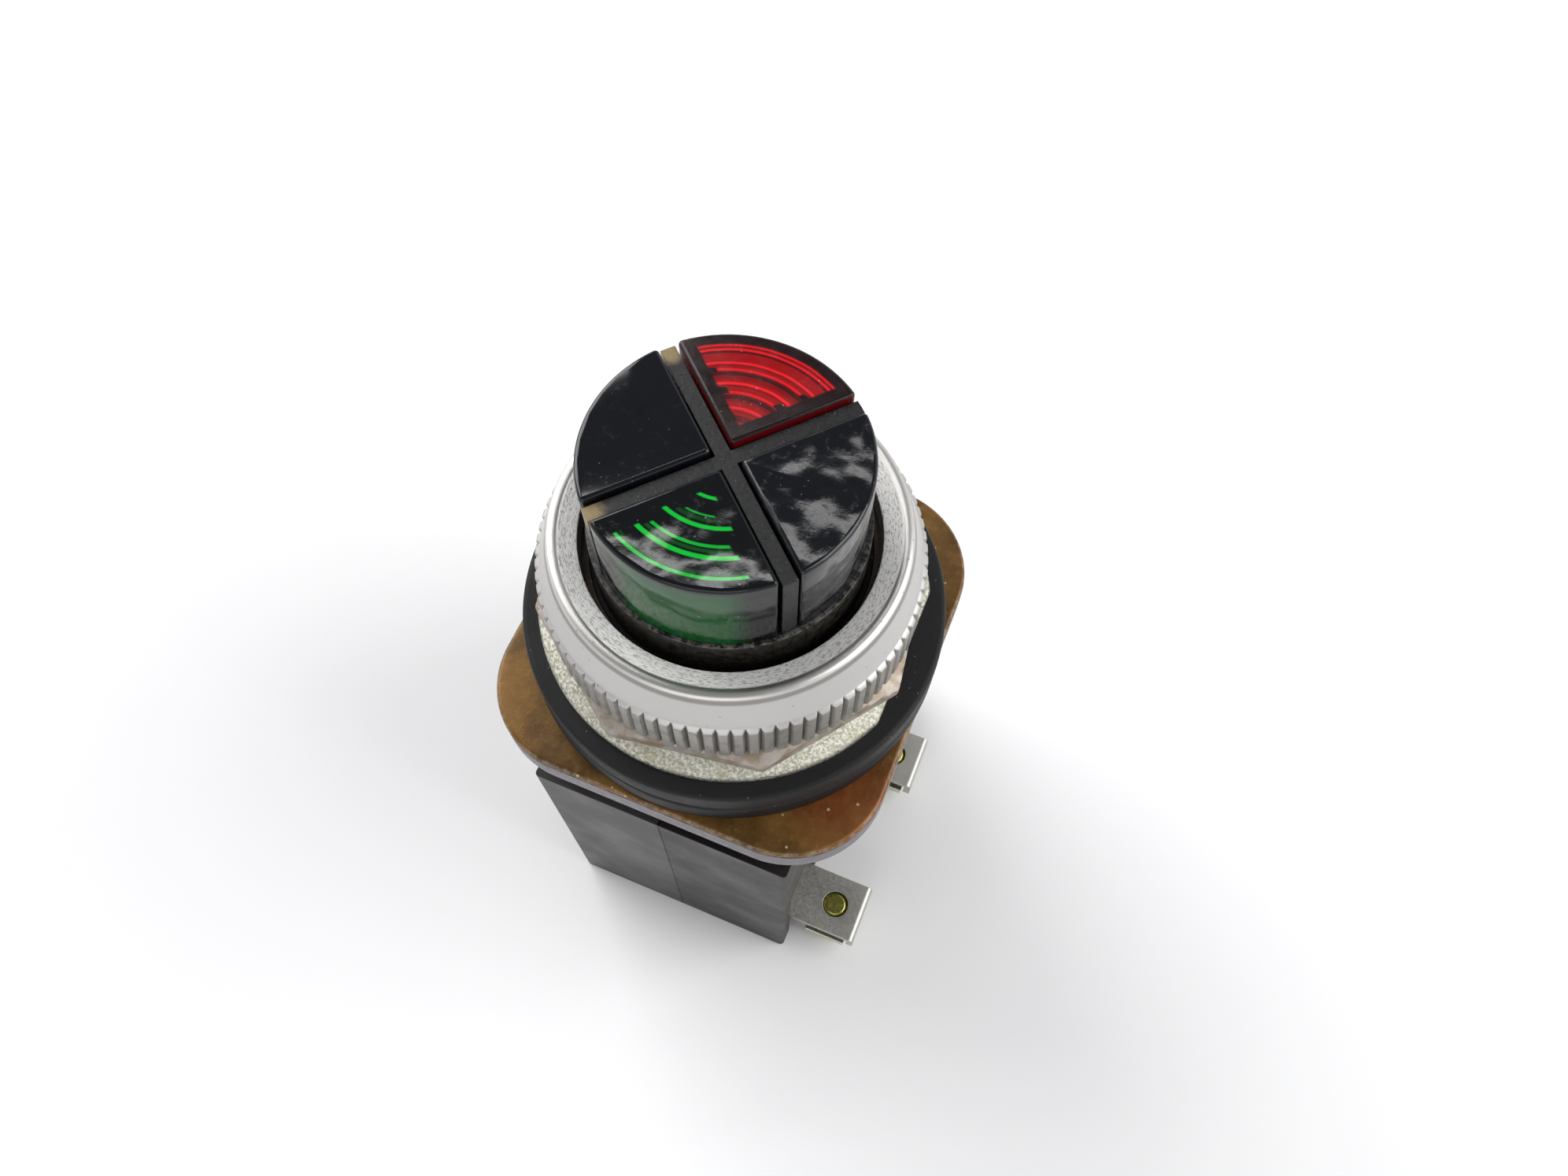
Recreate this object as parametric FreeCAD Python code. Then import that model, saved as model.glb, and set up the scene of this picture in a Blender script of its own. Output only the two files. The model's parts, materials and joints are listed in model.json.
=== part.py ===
import FreeCAD, Part
import math
import os

# Cluster pilot light for a 30.5 mm panel hole, in millimetres.
# The bushing axis is Z, the rear of the housing is z = 0, and the lenses face +Z.
# The terminals stand out along +X and -X. The two halves of the circuit are the
# same parts, the second one turned half a turn about Z.

# ---- housing: two identical phenolic halves that meet on the plane x = 0
housing_width = 29.3
housing_length = 43.2
housing_height = 41.2
housing_wall = 2.2
housing_floor = 2.4
housing_edge = 0.5
land_inset = 2.2
land_height = 4.6
land_roof = 2.0

# ---- base casting: square plate with the threaded bushing
plate_width = 42.4
plate_length = 43.8
plate_corner = 10.2
plate_thickness = 4.0
plate_edge = 0.5
bushing_radius = 15.0
bushing_wall = 1.75
bushing_front_gap = 0.68
socket_hole = 10.9
thread_pitch = 1.5
thread_depth = 0.6

# ---- gaskets, trim washer and mounting ring on the bushing
gasket_margin = 1.85
lower_gasket_thickness = 3.1
upper_gasket_thickness = 3.3
gasket_edge = 0.55
stack_clearance = 0.3
washer_margin = 0.05
washer_flat_cut = 1.45
washer_sheet = 1.2
washer_dish = 1.1
washer_brim = 2.15
ring_height = 12.0
ring_wall = 3.44
ring_opening_clearance = 1.1
bead_setback = 2.2
bead_radius = 0.75
cone_slope = 0.35
ring_lip = 2.45
thread_clearance = 0.06
octagon_overhang = 1.2
octagon_turn = -13.8
octagon_thickness = 1.9
octagon_chamfer = 1.0
knurl_height = 5.6
knurl_teeth = 86
knurl_depth = 0.45
knurl_notch = 0.62
knurl_chamfer = 0.4

# ---- lens head: divider cross on a base ring, with four lens segments
head_turn = 2.5
head_clearance = 0.35
head_rim = 0.4
head_step = 1.9
head_base_depth = 12.4
head_base_wall = 1.85
divider_thickness = 1.4
divider_below_lens = 0.7
segment_gap = 0.2
segment_side_wall = 0.7
segment_outer_wall = 1.45
segment_top = 1.6
segment_edge = 0.4
skirt_depth = 2.5
skirt_wall = 0.65
skirt_clearance = 0.3
window_border = 1.9
window_ribs = 6
rib_pitch = 1.25
rib_width = 0.65
rib_depth = 0.6
seal_depth = 2.0

# ---- lamps, their socket and their contacts
lamp_offset = 6.7
lamp_headroom = 1.6
lamp_radius = 2.75
lamp_glass = 0.5
lamp_length = 12.1
lamp_flange_rim = 0.75
lamp_flange = 0.6
lamp_sleeve = 4.3
lamp_nub_radius = 1.9
lamp_nub = 0.6
filament_height = 7.0
filament_post = 0.15
socket_clearance = 0.15
socket_neck = 6.0
contact_thickness = 0.5
contact_margin = 0.3
contact_eye = 1.3
spring_length = 7.1
spring_radius = 1.5
spring_wire = 0.25
spring_turns = 5
seat_radius = 2.4
seat_thickness = 0.5
lead_radius = 0.5
lead_fit = 0.05
lead_bend = 2.0
flange_lead_offset = 9.6
flange_lead_turn = -32.4

# ---- dropping resistors
resistor_gap = 0.25
resistor_y = -7.6
resistor_radius = 2.6
resistor_length = 18.0
resistor_cap = 1.6
resistor_cap_step = 0.15
lead_rise = 5.0
lead_headroom = 2.0

# ---- terminals: fixed tab, wire saddle and screw
front_terminal_edge = 6.7
rear_terminal_y = 7.6
tab_width = 7.5
tab_thickness = 0.9
tab_reach = 8.65
tab_top = 5.6
tab_lip = 3.0
tab_hole_x = 4.75
tongue_width = 3.0
tongue_margin = 1.2
tongue_clearance = 0.4
bay_depth = 1.2
bay_clearance = 0.6
bay_height = 20.0
wire_gap = 1.9
saddle_thickness = 1.1
saddle_width = 7.9
saddle_clearance = 0.3
saddle_rib = 0.35
saddle_hole_clearance = 0.3
terminal_screw_radius = 1.6
terminal_head_radius = 3.0
terminal_head = 1.4
screw_fit = 0.06
screw_slot = 0.8
screw_slot_depth = 0.7
screw_tip = 0.35

# ---- case screws, from the rear into the plate
case_screw_x = 5.2
case_screw_edge = 5.4
case_screw_radius = 1.75
case_screw_grip = 3.0
case_screw_fit = 0.05
case_head_radius = 2.9
case_head = 1.9
case_recess = 2.4
case_recess_clearance = 0.2
post_radius = 3.0
post_foot_radius = 4.0
post_foot = 4.4

# ---- radii worked out from the bushing
bushing_bore = bushing_radius - bushing_wall
head_base_radius = bushing_bore - head_clearance
head_base_bore = head_base_radius - head_base_wall
head_radius = head_base_radius - head_rim
window_radius = head_radius - window_border
ring_bore = bushing_radius + thread_clearance
ring_radius = ring_bore + ring_wall
ring_opening = head_base_radius + ring_opening_clearance
ring_bead = ring_opening + bead_setback
octagon_corner = ring_radius + octagon_overhang
washer_radius = octagon_corner + washer_margin
washer_shoulder = washer_radius - washer_brim
gasket_radius = washer_radius + gasket_margin
lamp_flange_radius = lamp_radius + lamp_flange_rim
contact_radius = lamp_flange_radius + contact_margin

# ---- heights worked out from the stack
land_top = housing_height + land_height
plate_top = land_top + plate_thickness
gasket_middle = plate_top + lower_gasket_thickness
gasket_top = gasket_middle + upper_gasket_thickness
ring_base = gasket_top + washer_sheet + washer_dish
ring_top = ring_base + ring_height
bead_drop = cone_slope * bead_setback
ring_bore_top = ring_top - ring_lip - bead_drop
bushing_top = ring_bore_top - bushing_front_gap
head_base_top = ring_top + head_step
head_base_low = head_base_top - head_base_depth
socket_top = head_base_low + socket_neck
lamp_base = socket_top + contact_thickness + lamp_flange
lens_top = lamp_base + lamp_length + lamp_headroom + segment_top
nub_low = lamp_base - lamp_flange - lamp_sleeve - lamp_nub
seat_low = nub_low - spring_length - seat_thickness
tab_low = tab_top - tab_thickness
saddle_top = tab_low - wire_gap
saddle_low = saddle_top - saddle_thickness
head_low = saddle_low - terminal_head

# ---- places in the housing
half_width = housing_width / 2
half_length = housing_length / 2
front_terminal_y = front_terminal_edge - half_length
case_screw_y = half_length - case_screw_edge
resistor_x = half_width - housing_wall - resistor_gap - resistor_radius
lead_level = housing_height - housing_wall - lead_headroom
resistor_base = lead_level - lead_rise - resistor_length

UP = FreeCAD.Vector(0, 0, 1)
ORIGIN = FreeCAD.Vector(0, 0, 0)


def vector(x, y, z):
    return FreeCAD.Vector(x, y, z)


def box(low, high):
    """Block between its lowest and highest corners."""
    size = [high[i] - low[i] for i in range(3)]
    return Part.makeBox(*size, vector(*low))


def cylinder(radius, low, high, x=0.0, y=0.0):
    return Part.makeCylinder(radius, high - low, vector(x, y, low))


def tube(outer, inner, low, high, x=0.0, y=0.0):
    return cylinder(outer, low, high, x, y).cut(cylinder(inner, low, high, x, y))


def revolved(outline):
    """Solid of revolution about Z from (radius, height) corners."""
    corners = [vector(radius, 0, height) for radius, height in outline]
    face = Part.Face(Part.makePolygon(corners + corners[:1]))
    return face.revolve(ORIGIN, UP, 360)


def turned(shape, degrees):
    """Copy of a shape turned about the bushing axis."""
    copy = shape.copy()
    copy.rotate(ORIGIN, UP, degrees)
    return copy


def polar(radius, degrees):
    angle = math.radians(degrees)
    return radius * math.cos(angle), radius * math.sin(angle)


def prism(points, low, high):
    """Upright prism on a closed outline of (x, y) corners."""
    corners = [vector(x, y, low) for x, y in points]
    face = Part.Face(Part.makePolygon(corners + corners[:1]))
    return face.extrude(vector(0, 0, high - low))


def strap(start, end, width, low, high):
    """Flat bar of one width between two points."""
    length = math.dist(start, end)
    side_x = (start[1] - end[1]) / length * width / 2
    side_y = (end[0] - start[0]) / length * width / 2
    outline = [(start[0] + side_x, start[1] + side_y), (start[0] - side_x, start[1] - side_y),
               (end[0] - side_x, end[1] - side_y), (end[0] + side_x, end[1] + side_y)]
    return prism(outline, low, high)


def rounded_plate(width, length, corner, low, high):
    plate = box((-width / 2, -length / 2, low), (width / 2, length / 2, high))
    uprights = [edge for edge in plate.Edges if abs(edge.tangentAt(edge.FirstParameter).z) > 0.9]
    return plate.makeFillet(corner, uprights)


def wire_rod(points, radius, bend):
    """Round rod along straight runs joined by tangent arcs of one bend radius."""
    stops = [vector(*point) for point in points]
    edges = []
    start = stops[0]
    for before, corner, after in zip(stops, stops[1:], stops[2:]):
        back = (before - corner).normalize()
        ahead = (after - corner).normalize()
        half_turn = (math.pi - back.getAngle(ahead)) / 2
        setback = bend * math.tan(half_turn)
        enter = corner + back * setback
        leave = corner + ahead * setback
        middle_way = (back + ahead).normalize()
        middle = corner + middle_way * (bend / math.cos(half_turn) - bend)
        edges.append(Part.makeLine(start, enter))
        edges.append(Part.Arc(enter, middle, leave).toShape())
        start = leave
    edges.append(Part.makeLine(start, stops[-1]))
    path = Part.Wire(edges)
    section = Part.Wire(Part.makeCircle(radius, stops[0], stops[1] - stops[0]))
    return path.makePipeShell([section], True, True)


# ---- base casting, gaskets, washer and ring

def threaded_outline():
    """Bushing wall: V grooves one pitch apart from just above the plate to the top."""
    outline = [(bushing_bore, plate_top), (bushing_radius, plate_top)]
    turns = int((bushing_top - plate_top - thread_pitch) / thread_pitch)
    for turn in range(turns):
        groove = plate_top + thread_pitch * (turn + 1)
        outline.append((bushing_radius, groove - thread_pitch * 0.42))
        outline.append((bushing_radius - thread_depth, groove))
        outline.append((bushing_radius, groove + thread_pitch * 0.42))
    outline.append((bushing_radius, bushing_top - thread_depth))
    outline.append((bushing_radius - thread_depth, bushing_top))
    outline.append((bushing_bore, bushing_top))
    return outline


def base_casting():
    plate = rounded_plate(plate_width, plate_length, plate_corner, land_top, plate_top)
    rim = [edge for edge in plate.Edges if abs(edge.CenterOfMass.z - plate_top) < 1e-6]
    plate = plate.makeFillet(plate_edge, rim)
    casting = plate.cut(cylinder(socket_hole, land_top, plate_top))
    casting = casting.fuse(revolved(threaded_outline()))
    hole_top = land_top + case_screw_grip + case_screw_fit
    for x, y in case_screw_places():
        casting = casting.cut(cylinder(case_screw_radius + case_screw_fit, land_top, hole_top, x, y))
    return casting.removeSplitter()


def gasket(low, high):
    bore = bushing_radius + stack_clearance
    return revolved([
        (bore, low), (gasket_radius - gasket_edge, low), (gasket_radius, low + gasket_edge),
        (gasket_radius, high - gasket_edge), (gasket_radius - gasket_edge, high), (bore, high)])


def trim_washer():
    """Dished sheet washer with two flats, its rim down on the gasket."""
    bore = bushing_radius + stack_clearance
    rim_low = gasket_top
    crown = ring_base
    washer = revolved([
        (bore, crown - washer_sheet), (washer_shoulder, crown - washer_sheet),
        (washer_radius - washer_sheet, rim_low), (washer_radius, rim_low),
        (washer_radius, rim_low + washer_sheet * 0.8),
        (washer_radius - washer_sheet * 0.2, rim_low + washer_sheet),
        (washer_shoulder, crown), (bore, crown)])
    flat = washer_radius - washer_flat_cut
    keep = box((-flat, -washer_radius, rim_low), (flat, washer_radius, crown))
    return washer.common(keep)


def knurl_band(low, high):
    """Toothed prism: flat crests parted by V notches."""
    points = []
    notch_half = math.degrees(knurl_notch / 2 / ring_radius)
    for tooth in range(knurl_teeth):
        centre = 360.0 * tooth / knurl_teeth
        points.append(polar(ring_radius, centre - notch_half))
        points.append(polar(ring_radius - knurl_depth, centre))
        points.append(polar(ring_radius, centre + notch_half))
    return prism(points, low, high)


def mounting_ring():
    """Knurled ring nut with an octagonal wrench foot and a rolled front bead."""
    foot_top = ring_base + octagon_thickness
    knurl_top = foot_top + knurl_height
    corners = [polar(octagon_corner, octagon_turn + 45 * side) for side in range(8)]
    foot_limit = revolved([
        (0, ring_base), (octagon_corner, ring_base), (octagon_corner, foot_top - octagon_chamfer),
        (ring_radius - knurl_depth, foot_top), (0, foot_top)])
    foot = prism(corners, ring_base, foot_top).common(foot_limit)
    band_limit = revolved([
        (0, foot_top), (ring_radius, foot_top), (ring_radius, knurl_top),
        (ring_radius - knurl_chamfer, knurl_top + knurl_chamfer), (0, knurl_top + knurl_chamfer)])
    band = knurl_band(foot_top, knurl_top + knurl_chamfer).common(band_limit)
    cap = revolved(front_outline(knurl_top + knurl_chamfer))
    bore = cylinder(ring_bore, ring_base, ring_bore_top)
    opening = cylinder(ring_opening, ring_base, ring_top)
    return foot.fuse([band, cap]).cut(bore).cut(opening).removeSplitter()


def front_outline(low):
    """Cone up from the knurl, over the rounded bead and down to the opening."""
    centre_height = ring_top - bead_radius
    outline = [(0, low), (ring_radius - knurl_depth, low)]
    for degrees in range(15, 121, 15):
        x, y = polar(bead_radius, degrees)
        outline.append((ring_bead + x, centre_height + y))
    outline.append((ring_opening - 0.5, ring_top - bead_drop))
    outline.append((0, ring_top - bead_drop))
    return outline


# ---- lens head

def lens_holder():
    """Smoked moulding: base ring with the cross that parts the four segments."""
    ring = tube(head_base_radius, head_base_bore, head_base_low, head_base_top)
    cross_top = lens_top - divider_below_lens
    half = divider_thickness / 2
    arm = box((-head_radius, -half, socket_top), (head_radius, half, cross_top))
    cross = arm.fuse(turned(arm, 90))
    cross = cross.common(cylinder(head_radius, socket_top, cross_top))
    return turned(ring.fuse(cross).removeSplitter(), head_turn + 45)


def quarter(outer, inner, offset, low, high):
    """Quarter of a tube in +X +Y, set back from both axes."""
    corner = box((offset, offset, low), (outer, outer, high))
    if inner > 0:
        return tube(outer, inner, low, high).common(corner)
    return cylinder(outer, low, high).common(corner)


def lens_segment(direction, ribbed):
    """Quarter cup, closed on top, with a locating skirt and ribs under its window."""
    face = divider_thickness / 2 + segment_gap
    cup = quarter(head_radius, 0, face, head_base_top, lens_top)
    rounded = [edge for edge in cup.Edges if edge.CenterOfMass.z > head_base_top + 0.01]
    cup = cup.makeFillet(segment_edge, rounded)
    inside = face + segment_side_wall
    roof = lens_top - segment_top
    cup = cup.cut(quarter(head_radius - segment_outer_wall, 0, inside, head_base_top, roof))
    skirt_outer = head_base_bore - skirt_clearance
    skirt_low = head_base_top - skirt_depth
    cup = cup.fuse(quarter(skirt_outer, skirt_outer - skirt_wall, inside, skirt_low, head_base_top))
    ledge_inner = skirt_outer - skirt_wall
    cup = cup.fuse(quarter(head_radius - segment_outer_wall, ledge_inner, inside - segment_side_wall,
                           head_base_top, head_base_top + skirt_wall))
    if ribbed:
        for rib in range(window_ribs):
            outer = window_radius - rib_pitch * rib
            ridge = quarter(outer, outer - rib_width, face + window_border, roof - rib_depth, roof)
            cup = cup.fuse(ridge)
    return turned(cup.removeSplitter(), direction - 45 + head_turn)


def head_seal():
    return tube(bushing_bore, head_base_radius, bushing_top - seal_depth, bushing_top)


# ---- lamps and electrical parts of the red circuit; the green one is the same, turned

def lamp_place():
    return polar(lamp_offset, 90 + head_turn)


def flange_lead_place():
    return polar(flange_lead_offset, 90 + head_turn + flange_lead_turn)


def lamp_glass_bulb():
    x, y = lamp_place()
    dome = lamp_base + lamp_length - lamp_radius
    bulb = cylinder(lamp_radius, lamp_base, dome, x, y)
    bulb = bulb.fuse(Part.makeSphere(lamp_radius, vector(x, y, dome)))
    hollow_radius = lamp_radius - lamp_glass
    hollow = cylinder(hollow_radius, lamp_base + lamp_glass, dome, x, y)
    hollow = hollow.fuse(Part.makeSphere(hollow_radius, vector(x, y, dome)))
    return bulb.removeSplitter().cut(hollow.removeSplitter())


def lamp_cap():
    """Metal flange and sleeve with the centre contact below."""
    x, y = lamp_place()
    flange_low = lamp_base - lamp_flange
    sleeve_low = flange_low - lamp_sleeve
    cap = cylinder(lamp_flange_radius, flange_low, lamp_base, x, y)
    cap = cap.fuse(cylinder(lamp_radius, sleeve_low, flange_low, x, y))
    cap = cap.fuse(cylinder(lamp_nub_radius, nub_low, sleeve_low, x, y))
    return cap.removeSplitter()


def lamp_filament():
    """Two posts and the filament between them."""
    x, y = lamp_place()
    low = lamp_base + lamp_glass
    high = low + filament_height
    spread = lamp_radius - 2 * lamp_glass - spring_wire
    wire = filament_post
    posts = [cylinder(wire, low, high, x + side * spread, y) for side in (-1, 1)]
    bar = Part.makeCylinder(wire / 2, 2 * spread, vector(x - spread, y, high - 2 * wire), vector(1, 0, 0))
    return posts[0].fuse([posts[1], bar])


def contact_spring():
    """Coil spring between its seat and the centre contact of the lamp."""
    x, y = lamp_place()
    low = seat_low + seat_thickness + spring_wire * 1.1
    high = nub_low - spring_wire * 1.1
    helix = Part.makeHelix((high - low) / spring_turns, high - low, spring_radius)
    helix.translate(vector(x, y, low))
    start = helix.Edges[0].valueAt(helix.Edges[0].FirstParameter)
    along = helix.Edges[0].tangentAt(helix.Edges[0].FirstParameter)
    section = Part.Wire(Part.makeCircle(spring_wire, start, along))
    return Part.Wire(helix.Edges).makePipeShell([section], True, True)


def flange_contact():
    """Brass washer under the lamp flange, with an eye for its lead."""
    x, y = lamp_place()
    eye_x, eye_y = flange_lead_place()
    high = socket_top + contact_thickness
    plate = cylinder(contact_radius, socket_top, high, x, y)
    plate = plate.fuse(cylinder(contact_eye, socket_top, high, eye_x, eye_y))
    plate = plate.fuse(strap((x, y), (eye_x, eye_y), contact_eye, socket_top, high))
    plate = plate.cut(cylinder(lamp_radius + socket_clearance, socket_top, high, x, y))
    return plate.cut(cylinder(lead_radius, socket_top, high, eye_x, eye_y)).removeSplitter()


def flange_lead():
    x, y = flange_lead_place()
    return cylinder(lead_radius, tab_low, socket_top + contact_thickness, x, y)


def centre_lead():
    """Lead from the top of the resistor to the spring seat under the lamp."""
    x, y = lamp_place()
    body_top = resistor_base + resistor_length
    route = [(resistor_x, resistor_y, body_top), (resistor_x, resistor_y, lead_level),
             (x, y, lead_level), (x, y, seat_low)]
    rod = wire_rod(route, lead_radius, lead_bend)
    seat = cylinder(seat_radius, seat_low, seat_low + seat_thickness, x, y)
    return rod.fuse(seat).removeSplitter()


def terminal_lead():
    """Lead from the bottom of the resistor down to the tongue of the front tab."""
    return cylinder(lead_radius, tab_low, resistor_base, resistor_x, resistor_y)


def resistor_body():
    high = resistor_base + resistor_length
    return cylinder(resistor_radius - resistor_cap_step, resistor_base + resistor_cap,
                    high - resistor_cap, resistor_x, resistor_y)


def resistor_caps():
    high = resistor_base + resistor_length
    ends = ((resistor_base, resistor_base + resistor_cap), (high - resistor_cap, high))
    return Part.makeCompound([cylinder(resistor_radius, low, top, resistor_x, resistor_y)
                              for low, top in ends])


def lamp_socket():
    """Insulating block in the bushing bore, bored for the lamps, springs and leads."""
    block = cylinder(socket_hole - socket_clearance, land_top, plate_top)
    block = block.fuse(cylinder(head_base_radius, plate_top, head_base_low))
    neck = head_base_bore - socket_clearance / 2
    block = block.fuse(cylinder(neck, head_base_low, socket_top))
    for half_turn in (0, 180):
        x, y = lamp_place()
        lead_x, lead_y = flange_lead_place()
        bores = cylinder(lamp_radius + socket_clearance, seat_low, socket_top, x, y)
        bores = bores.fuse(cylinder(lead_radius + lead_fit, land_top, seat_low, x, y))
        bores = bores.fuse(cylinder(lead_radius + lead_fit, land_top, socket_top, lead_x, lead_y))
        block = block.cut(turned(bores, half_turn))
    return block.removeSplitter()


# ---- housing, drawn for the +X half

def case_screw_places():
    return [(side * case_screw_x, end * case_screw_y) for side in (-1, 1) for end in (-1, 1)]


def housing_half():
    """Open-sided shell with a raised land, screw posts, terminal bays and tab slots."""
    outside = box((0, -half_length, 0), (half_width, half_length, housing_height))
    upright = [edge for edge in outside.Edges
               if abs(edge.tangentAt(edge.FirstParameter).z) > 0.9 and edge.CenterOfMass.x > 1]
    outside = outside.makeFillet(housing_edge, upright)
    land_x = half_width - land_inset
    land_y = half_length - land_inset
    outside = outside.fuse(box((0, -land_y, housing_height), (land_x, land_y, land_top)))
    inner_x = half_width - housing_wall
    inner_y = half_length - housing_wall
    hollow_top = housing_height - housing_wall
    hollow = box((0, -inner_y, housing_floor), (inner_x, inner_y, hollow_top))
    hollow = hollow.fuse(box((0, housing_wall - land_y, housing_floor),
                             (land_x - housing_wall, land_y - housing_wall, land_top - land_roof)))
    shell = outside.cut(hollow)
    for end in (-1, 1):
        y = end * case_screw_y
        shell = shell.fuse(cylinder(post_radius, 0, land_top, case_screw_x, y))
        shell = shell.fuse(cylinder(post_foot_radius, 0, post_foot, case_screw_x, y))
    shell = shell.cut(cylinder(socket_hole, land_top - land_roof, land_top))
    for end in (-1, 1):
        y = end * case_screw_y
        hole = cylinder(case_screw_radius + case_screw_fit, 0, land_top, case_screw_x, y)
        recess_radius = case_head_radius + case_recess_clearance
        hole = hole.fuse(cylinder(recess_radius, 0, case_recess, case_screw_x, y))
        shell = shell.cut(hole)
    for y in (front_terminal_y, rear_terminal_y):
        bay_half = tab_width / 2 + bay_clearance
        bay = box((half_width - bay_depth, y - bay_half, 0), (half_width, y + bay_half, bay_height))
        slot = box((inner_x - 1, y - tab_width / 2, tab_low), (half_width, y + tab_width / 2, tab_top))
        shell = shell.cut(bay).cut(slot)
    return shell.removeSplitter()


def case_screws():
    screws = []
    for x, y in case_screw_places():
        head_base = case_recess - case_head
        screw = cylinder(case_head_radius, head_base, case_recess, x, y)
        screw = screw.fuse(cylinder(case_screw_radius, case_recess, land_top + case_screw_grip, x, y))
        slot = box((x - case_head_radius, y - screw_slot / 2, head_base),
                   (x + case_head_radius, y + screw_slot / 2, head_base + screw_slot_depth))
        screws.append(screw.cut(slot).removeSplitter())
    return Part.makeCompound(screws)


# ---- terminals, drawn for the +X side

def screw_x():
    return half_width + tab_hole_x


def terminal_tab(y, inner_x):
    """Plated strip from inside the housing to a turned-down lip outside it."""
    outer = half_width + tab_reach
    half = tab_width / 2
    tab = box((inner_x, y - half, tab_low), (outer, y + half, tab_top))
    lip = box((outer - tab_thickness, y - half, tab_top - tab_lip), (outer, y + half, tab_low))
    tab = tab.fuse(lip).removeSplitter()
    bend = [edge for edge in tab.Edges
            if abs(edge.CenterOfMass.x - outer) < 1e-6 and abs(edge.CenterOfMass.z - tab_top) < 1e-6]
    tab = tab.makeFillet(tab_thickness * 0.8, bend)
    hole = cylinder(terminal_screw_radius + screw_fit, tab_low, tab_top, screw_x(), y)
    return tab.cut(hole)


def front_tab():
    """Front terminal, with an ear inside that reaches the lead of the resistor."""
    tab = terminal_tab(front_terminal_y, case_screw_x + post_radius + tongue_clearance)
    half = tongue_width / 2
    ear_start = post_radius + tongue_clearance - case_screw_y
    ear = box((resistor_x - half, ear_start, tab_low), (resistor_x + half, resistor_y + half, tab_top))
    eye = cylinder(lead_radius, tab_low, tab_top, resistor_x, resistor_y)
    return tab.fuse(ear).cut(eye).removeSplitter()


def rear_tab():
    """Rear terminal, with a tongue inside that ends past the lead of the lamp flange."""
    x, y = flange_lead_place()
    tab = terminal_tab(rear_terminal_y, half_width - housing_wall - resistor_gap)
    tongue = box((x - tongue_margin, rear_terminal_y - tab_width / 2, tab_low),
                 (half_width - housing_wall, y + tongue_margin, tab_top))
    eye = cylinder(lead_radius, tab_low, tab_top, x, y)
    return tab.fuse(tongue).cut(eye).removeSplitter()


def wire_saddle(y):
    """Clamp plate under the tab, with a gripping ridge along each side of the screw."""
    middle = screw_x()
    reach = tab_reach - tab_thickness - tab_hole_x - saddle_clearance
    low_x = middle - reach
    high_x = middle + reach
    half = saddle_width / 2
    plate = box((low_x, y - half, saddle_low), (high_x, y + half, saddle_top))
    for side in (-1, 1):
        ridge_y = y + side * (half - saddle_rib)
        plate = plate.fuse(box((low_x, ridge_y - saddle_rib, saddle_top),
                               (high_x, ridge_y + saddle_rib, saddle_top + saddle_rib)))
    hole_radius = terminal_screw_radius + saddle_hole_clearance
    return plate.cut(cylinder(hole_radius, saddle_low, saddle_top, middle, y)).removeSplitter()


def terminal_screw(y):
    """Slotted screw put in from the rear, its chamfered tip in the tab."""
    x = screw_x()
    tip = tab_top - screw_tip
    screw = cylinder(terminal_head_radius, head_low, saddle_low, x, y)
    screw = screw.fuse(cylinder(terminal_screw_radius, saddle_low, tip, x, y))
    cone = Part.makeCone(terminal_screw_radius, terminal_screw_radius - screw_tip, screw_tip,
                         vector(x, y, tip))
    slot = box((x - terminal_head_radius, y - screw_slot / 2, head_low),
               (x + terminal_head_radius, y + screw_slot / 2, head_low + screw_slot_depth))
    return screw.fuse(cone).cut(slot).removeSplitter()


# ---- nodes

def save(name, shape):
    if not shape.isValid():
        raise ValueError(name + " is not a valid solid")
    shape.exportStep("parts/" + name + ".step")


def save_pair(names, shape):
    """The +X or red part, and its twin turned half a turn about the axis."""
    save(names[0], shape)
    save(names[1], turned(shape, 180))


os.makedirs("parts", exist_ok=True)
save("base_casting", base_casting())
save("gasket_lower", gasket(plate_top, gasket_middle))
save("gasket_upper", gasket(gasket_middle, gasket_top))
save("trim_washer", trim_washer())
save("mounting_ring", mounting_ring())
save("lens_holder", lens_holder())
save("head_seal", head_seal())
save("lens_red", lens_segment(90, True))
save("lens_green", lens_segment(270, True))
save("blank_left", lens_segment(180, False))
save("blank_right", lens_segment(0, False))
save("lamp_socket", lamp_socket())
save_pair(("lamp_red_glass", "lamp_green_glass"), lamp_glass_bulb())
save_pair(("lamp_red_cap", "lamp_green_cap"), lamp_cap())
save_pair(("lamp_red_filament", "lamp_green_filament"), lamp_filament())
save_pair(("spring_red", "spring_green"), contact_spring())
save_pair(("flange_contact_red", "flange_contact_green"), flange_contact())
save_pair(("flange_lead_red", "flange_lead_green"), flange_lead())
save_pair(("centre_lead_red", "centre_lead_green"), centre_lead())
save_pair(("terminal_lead_red", "terminal_lead_green"), terminal_lead())
save_pair(("resistor_red_body", "resistor_green_body"), resistor_body())
save_pair(("resistor_red_caps", "resistor_green_caps"), resistor_caps())
save_pair(("housing_right", "housing_left"), housing_half())
save("case_screws", case_screws())
save_pair(("tab_right_front", "tab_left_rear"), front_tab())
save_pair(("tab_right_rear", "tab_left_front"), rear_tab())
save_pair(("saddle_right_front", "saddle_left_rear"), wire_saddle(front_terminal_y))
save_pair(("saddle_right_rear", "saddle_left_front"), wire_saddle(rear_terminal_y))
save_pair(("screw_right_front", "screw_left_rear"), terminal_screw(front_terminal_y))
save_pair(("screw_right_rear", "screw_left_front"), terminal_screw(rear_terminal_y))
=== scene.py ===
import json
import math
import bmesh
import bpy
import numpy as np
from mathutils import Matrix, Vector


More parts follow.
